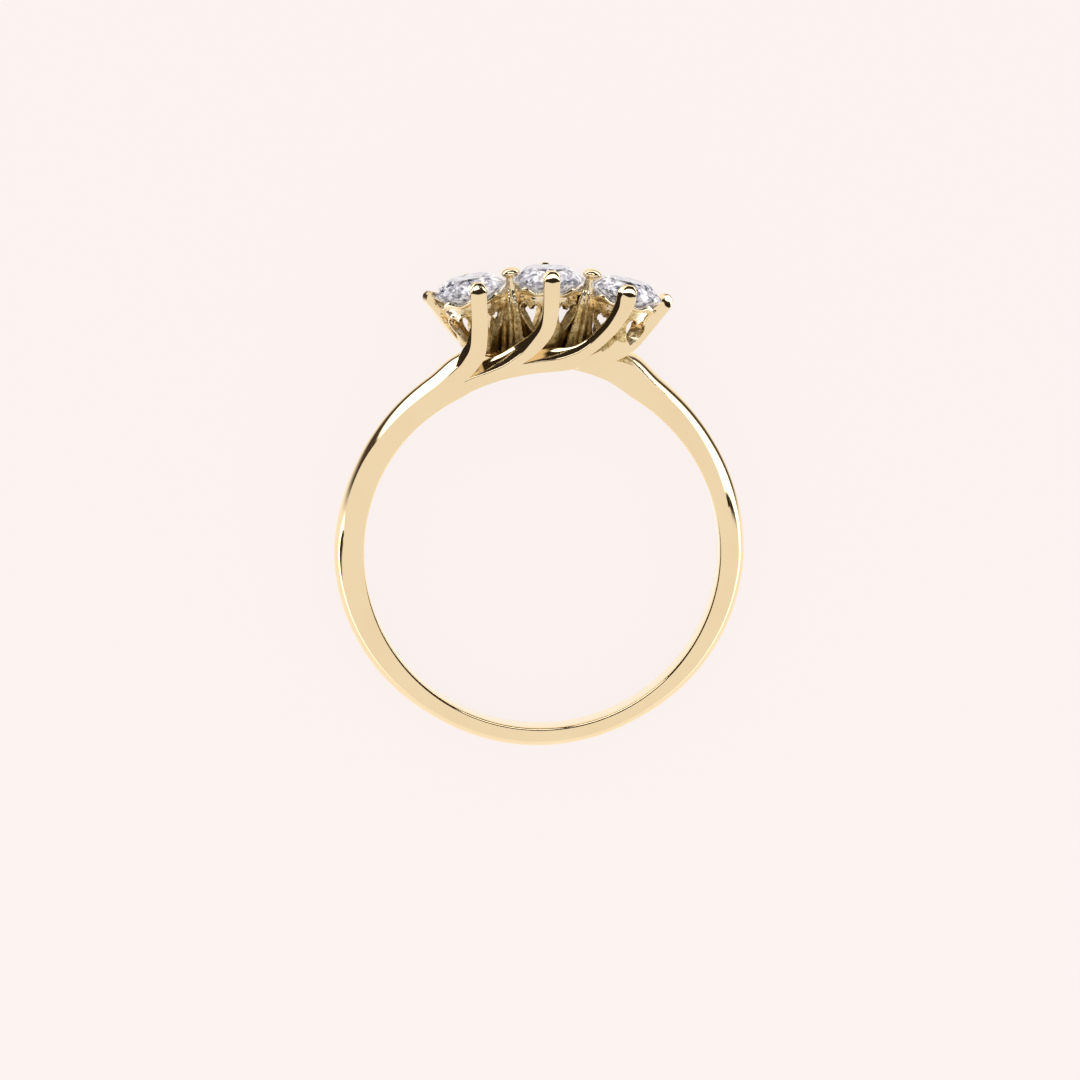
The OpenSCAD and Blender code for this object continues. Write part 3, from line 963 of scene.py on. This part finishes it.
def pillar(side):
    """Rough fluted pillar that carries a nail claw between two cups."""
    foot = FLOOR_LIFT + FLOOR_T / 2
    top = PILLAR_TOP * GIRDLE_H
    rings = []
    for place in row_places(PILLAR):
        up, wide = row_at(PILLAR, place)
        ring = []
        for n in range(PILLAR_SIDES):
            a = 2 * pi * n / PILLAR_SIDES
            r = wide * CLAW_W * (1 + FLUTE_DEPTH * cos(FLUTES * a + 2 * side + 2 * up))
            ring.append(Vector((r * cos(a), foot + (top - foot) * up, PILLAR_DEEP * r * sin(a))))
        rings.append(ring)
    piece = drawn("pillar_" + ("left" if side < 0 else "right"), rings)
    piece.data.transform(between_stones(side))
    return cast(piece, PILLAR_GRAIN)


# Half the outline of a cup's window, from its pointed foot to the cusp in its top: share of the half
# width and share of the height
WINDOW = [
    (0.0, 0.0), (0.28, 0.14), (0.55, 0.30), (0.80, 0.50), (0.96, 0.70),
    (0.93, 0.86), (0.72, 0.98), (0.40, 1.0), (0.14, 0.92), (0.0, 0.80),
]

# Size of a window, how far its foot lies under the stone's girdle, its turn from the cup's side, and
# where it starts
WINDOW_H = 1.24 * MM
WINDOW_W = 0.98 * MM
WINDOW_FOOT = 2.36 * MM
WINDOW_TURN = radians(40)
WINDOW_NEAR = 0.2 * MM

# Raised border of a window: half its thickness, its sides, and its size as a share of the window's
FRAME_R = 0.05 * MM
FRAME_SIDES = 8
FRAME_SPREAD = 1.12


def window_outline(turn, matrix, reach, spread=1.0):
    """The outline of a cup's window at a distance from the cup's axis, which may change with the height."""
    outline = WINDOW + [(-s, t) for s, t in reversed(WINDOW[1:-1])]
    placed = matrix @ Matrix.Rotation(turn, 4, "Z")
    points = []
    for s, t in outline:
        z = (0.5 + (t - 0.5) * spread) * WINDOW_H - WINDOW_FOOT
        r = reach(z)
        y = s * spread * WINDOW_W / 2 * (0.7 + 0.4 * (r - WINDOW_NEAR) / MM)
        points.append(placed @ Vector((r, y, z)))
    return points


def window(turn, matrix):
    """A tool that cuts one heart shaped window of a cup."""
    near, far = (window_outline(turn, matrix, lambda z: reach) for reach in (WINDOW_NEAR, 2 * STONE_R))
    return drawn("window", [near, far])


def window_frame(turn, matrix, reach):
    """The raised border of one window, whose end laps over its start."""
    path = window_outline(turn, matrix, reach, FRAME_SPREAD)
    axis = matrix.to_3x3() @ Vector((0, 0, 1))
    count = len(path)
    rings = []
    for k in range(count + 1):
        point = path[k % count]
        before = path[k - 1] if k < count else path[-2]
        along = (path[(k + 1) % count] - before).normalized()
        out = point - matrix.translation
        out = (out - axis * out.dot(axis)).normalized()
        side = along.cross(out).normalized()
        out = side.cross(along)
        angles = [2 * pi * n / FRAME_SIDES for n in range(FRAME_SIDES)]
        rings.append([point + FRAME_R * (cos(a) * out + sin(a) * side) for a in angles])
    return drawn("frame", rings)


# Cups: their rim's radius and its depth under the girdle as shares of the stone's radius, how much
# higher the outer cups' feet stand, the sections of their wall and the grain of their skin
RIM_R = STONE_R * 0.93
RIM_Z = -STONE_R * 0.14
CUP_SIDE_LIFT = 0.60 * MM
CUP_STEPS = 6
CUP_GRAIN = 0.022 * MM

# Scallops of a cup's rim: how many, how deep, and how far down the wall they reach
SCALLOPS = 8
SCALLOP_H = 0.13 * STONE_R
SCALLOP_REACH = 0.35 * STONE_R

# Bead round a cup's rim, from the hollow below it up: how far it stands out and how far it lies under
# the rim
BEAD = 0.10 * MM
COLLAR = [(-1.5, 4.2), (-1.3, 3.6), (-0.2, 3.1), (0.5, 2.4), (0.8, 1.6), (0.6, 0.8), (0.0, 0.0)]


def cup(side):
    """Pierced conical cup under a stone, with a waved rim and a raised border round four of its six
    windows, three on an outer cup.
    """
    name = {-1: "cup_left", 0: "cup_centre", 1: "cup_right"}[side]
    foot = -(GIRDLE_H - FLOOR_LIFT - FLOOR_T / 2) + (CUP_SIDE_LIFT if side else 0)
    wide = RIM_R - CUP_FOOT_R
    high = RIM_Z - foot
    outer = [
        (CUP_FOOT_R + wide * k / CUP_STEPS, foot + high * k / CUP_STEPS) for k in range(CUP_STEPS + 1)
    ]
    inner = [(r - CUP_WALL, z) for r, z in reversed(outer)]
    inner[0] = (RIM_R - CUP_WALL, RIM_Z - CUP_WALL * 0.9)
    outer[-1:] = [(RIM_R + BEAD * out, RIM_Z - BEAD * down) for out, down in COLLAR]
    piece = turned(name, outer + inner, 64, Matrix.Identity(4))
    for vertex in piece.data.vertices:
        x, y, z = vertex.co
        near_rim = max(0.0, 1 - (RIM_Z - z) / SCALLOP_REACH)
        wave = 0.5 - 0.5 * cos(SCALLOPS * atan2(y, x))
        vertex.co.z = z - SCALLOP_H * wave * near_rim
    matrix = at_stone(side)
    piece.data.transform(matrix)
    turns = [sign * pi / 2 + way * WINDOW_TURN for sign in (-1, 1) for way in (-1, 1)]
    cut(piece, *[window(turn, matrix) for turn in turns + [0.0, pi]])
    behind_claw = WINDOW_TURN - side * pi / 2
    frames = [
        window_frame(turn, matrix, lambda z: CUP_FOOT_R + wide * (z - foot) / high)
        for turn in turns if not side or abs(turn - behind_claw) > 0.1
    ]
    only_select(piece)
    for border in frames:
        border.select_set(True)
    bpy.ops.object.join()
    return cast(piece, CUP_GRAIN)


# Plan of the floor's front edge. ACROSS: share of the distance to an outer stone's middle; DEPTH: share
# of the distance to the inner face of a claw
FLOOR_EDGE = [(-1.40, 0.45), (0.10, 0.45), (0.24, 0.30), (0.36, -0.03), (1.40, -0.03)]

# The floor's length on each side as a share of the pitch, its sections, the radius at which its plan is
# read, and its rounded edges
FLOOR_SPAN = 1.5
FLOOR_STEPS = 40
FLOOR_PLAN_R = 9 * MM
FLOOR_SOFT = 0.05 * MM


def floor_depth(across):
    for (x0, d0), (x1, d1) in zip(FLOOR_EDGE, FLOOR_EDGE[1:]):
        if across <= x1:
            return d0 + (d1 - d0) * (across - x0) / (x1 - x0)
    return FLOOR_EDGE[-1][1]


def gallery_floor():
    """Floor that joins the two ends of the band under the cups, arched underneath."""
    outer = HOLE_R + FLOOR_LIFT + FLOOR_T
    stone_x = GIRDLE_R * sin(PITCH)
    claw_z = CLAW_REACH - CLAW_T / 2
    rings = []
    for k in range(FLOOR_STEPS + 1):
        turn = FLOOR_SPAN * PITCH * (2 * k / FLOOR_STEPS - 1)
        arch = ARCH_Y * cos(turn) + (ARCH_R ** 2 - (ARCH_Y * sin(turn)) ** 2) ** 0.5
        inner = max(arch, HOLE_R)
        across = FLOOR_PLAN_R * sin(turn) / stone_x
        front = floor_depth(across) * claw_z
        back = -floor_depth(-across) * claw_z
        corners = ((inner, back), (inner, front), (outer, front), (outer, back))
        rings.append([polar(turn, r, z) for r, z in corners])
    return softened(drawn("gallery_floor", rings), FLOOR_SOFT)


# Corners of the web between the right claw and the end claw, with TURN and RISE as in the bars' tables,
# and the heights of its back and front over the middle plane
WEB = [(0.50, 0.17), (0.78, 0.235), (0.98, 0.36), (1.06, 0.46), (1.00, 0.47), (0.86, 0.40), (0.66, 0.26)]
WEB_BACK = 0.5 * MM
WEB_FRONT = 1.28 * MM
WEB_GRAIN = 0.035 * MM


def web():
    """Rough web in the corner between the right claw and the end claw."""
    outline = [on_head(turn, rise) for turn, rise in WEB]
    return cast(slab("web_front", outline, WEB_BACK, WEB_FRONT), WEB_GRAIN)


# Rough crease beside the trailing shank's chamfer. Columns: angle in degrees from the head, half its
# width as a share of a claw's width
CREASE = [(19.0, 0.30), (22.0, 0.27), (25.0, 0.20), (29.0, 0.13), (34.0, 0.08), (40.0, 0.04), (46.0, 0.02)]
CREASE_SIDES = 10
CREASE_IN = 0.05 * MM
CREASE_GRAIN = 0.05 * MM


def crease():
    """Rough crease that the file leaves where the end claw springs from the trailing shank."""
    rings = []
    for place in row_places(CREASE):
        angle, wide = row_at(CREASE, place)
        way = (180 - angle) / (180 - degrees(BAND_END * PITCH))
        _, grow, edge, _, crest, back = band_row(way)
        shift = OUTLINE_SHIFT * sin(radians(angle)) * (1 - crest / 2)
        thick = SIDE_T + (ROOT_T - SIDE_T) * (grow - 1) - shift
        half = wide * CLAW_W
        r, z = HOLE_R + thick * edge, BAND_W * (0.5 - back)
        ring = []
        for n in range(CREASE_SIDES):
            a = 2 * pi * n / CREASE_SIDES
            front = z - CREASE_IN + (CREASE_IN + 0.25 * half) * sin(a)
            ring.append(polar(radians(angle), r + half * cos(a), front))
        rings.append(ring)
    return cast(drawn("crease_front", rings), CREASE_GRAIN)


# Scene

def stage_floor():
    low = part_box("ring_mount")[0].z
    bpy.ops.object.select_all(action="DESELECT")
    bpy.ops.mesh.primitive_plane_add(size=6, location=(0, 0, low))
    floor = bpy.context.object
    floor.name = "floor"
    floor.data.materials.append(floor_paper())


# Softboxes. Columns: name, direction from the ring, width, height, and how bright each looks in a
# mirror
SOFTBOXES = [
    ("box_left", (-0.40, 0.68, 0.60), 0.60, 0.28, 3.0),
    ("box_tips", (0.20, 0.67, 0.72), 0.52, 0.26, 2.8),
    ("strip_left", (-0.70, 0.70, 0.03), 1.00, 0.10, 2.6),
    ("strip_right", (0.80, 0.60, 0.04), 0.80, 0.14, 2.6),
]
SOFTBOX_AWAY = 1.0


def softbox(name, direction, width, height, brightness):
    """A rectangular light that faces the ring, and that neither the camera nor a matt surface sees."""
    data = bpy.data.lights.new(name, "AREA")
    data.shape = "RECTANGLE"
    data.size = width
    data.size_y = height
    data.energy = brightness * pi * width * height
    light = bpy.data.objects.new(name, data)
    bpy.context.scene.collection.objects.link(light)
    away = Vector(direction).normalized()
    light.location = away * SOFTBOX_AWAY
    light.rotation_euler = away.to_track_quat("Z", "Y").to_euler()
    light.visible_camera = False
    light.visible_diffuse = False


def studio():
    """A dim room with a bright table in front, pale to the eye and full of small lights to a stone."""
    for row in SOFTBOXES:
        softbox(*row)
    world = bpy.data.worlds.new("studio")
    world.use_nodes = True
    graph = Graph(world.node_tree)
    way = graph.add("ShaderNodeTexCoord", output="Generated")
    x, up, front = graph.axes(way)
    wall = graph.maths("MAXIMUM", -0.5 - x, 0.0)
    table = graph.rise(up - 0.14 * front + 0.8 * wall, 0.06, -0.04)
    room = graph.mixed(table, (0.028, 0.020, 0.014, 1), (0.93, 0.90, 0.875, 1))
    sparkle = graph.ramp(
        graph.noise(way, 1 / 6.5),
        (0.38, (0.02, 0.02, 0.03)), (0.44, (0.42, 0.42, 0.50)),
        (0.52, (1.0, 1.0, 1.08)), (0.60, (2.6, 2.6, 2.7)),
    )
    metal, stone, pale = (
        graph.add("ShaderNodeBackground", {}, {"Color": colour, "Strength": 1.0})
        for colour in (room, sparkle, (1.0, 0.93, 0.915, 1))
    )
    camera, diffuse, clear = graph.outputs(
        graph.add("ShaderNodeLightPath"), "Is Camera Ray", "Is Diffuse Ray", "Is Transmission Ray"
    )
    gloss = graph.add("ShaderNodeMixShader", {}, [clear, metal, stone])
    both = graph.add("ShaderNodeMixShader", {}, [camera + diffuse, gloss, pale])
    graph.add("ShaderNodeOutputWorld", {}, {"Surface": both})
    bpy.context.scene.world = world


# The photograph: where the finger hole's centre falls in it, its scale and the camera's angles
PHOTO_SIZE = 1080
PHOTO_CENTRE = (541.0, 549.8)
PIXELS_PER_MM = 21.02
ELEVATION = radians(8.6)
AZIMUTH = radians(-3.5)
ROLL = radians(1.5)
CAMERA_AWAY = 430 * MM
SENSOR = 36


def photo_camera():
    """The camera at the photograph's angle to the ring, with its middle moved to the photograph's."""
    turn = (
        LYING.to_4x4()
        @ Matrix.Rotation(ROLL, 4, "Z")
        @ Matrix.Rotation(AZIMUTH, 4, "Y")
        @ Matrix.Rotation(-ELEVATION, 4, "X")
    )
    pixel = MM / PIXELS_PER_MM
    right = (PHOTO_SIZE / 2 - PHOTO_CENTRE[0]) * pixel
    up = (PHOTO_CENTRE[1] - PHOTO_SIZE / 2) * pixel
    data = bpy.data.cameras.new("camera")
    data.sensor_width = SENSOR
    data.lens = SENSOR * CAMERA_AWAY / (PHOTO_SIZE * pixel)
    data.clip_start = 0.01
    data.clip_end = 20
    camera = bpy.data.objects.new("camera", data)
    bpy.context.scene.collection.objects.link(camera)
    camera.matrix_world = turn @ Matrix.Translation((right, up, CAMERA_AWAY))
    bpy.context.scene.camera = camera
    bpy.context.scene.view_settings.view_transform = "Standard"


gold = polished_gold()
rough_gold = cast_gold()

shank = band()
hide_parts("ring_mount")
finished(shank, gold)
for piece in swirl():
    finished(piece, gold)
for side in (-1, 1):
    finished(nail_claw(side), gold)
for side in (-1, 0, 1):
    finished(cup(side), rough_gold)
finished(gallery_floor(), gold)
for side in (-1, 1):
    finished(pillar(side), rough_gold)
for piece, back_name in ((web(), "web_back"), (crease(), "crease_back")):
    finished(turned_round(piece, back_name), rough_gold)
    finished(piece, rough_gold)

for place, side in (("left", -1), ("centre", 0), ("right", 1)):
    stone = frame["nodes"]["stone_" + place]
    stone.data.materials.clear()
    stone.data.materials.append(diamond("diamond_" + place, side))

stage_floor()
studio()
photo_camera()
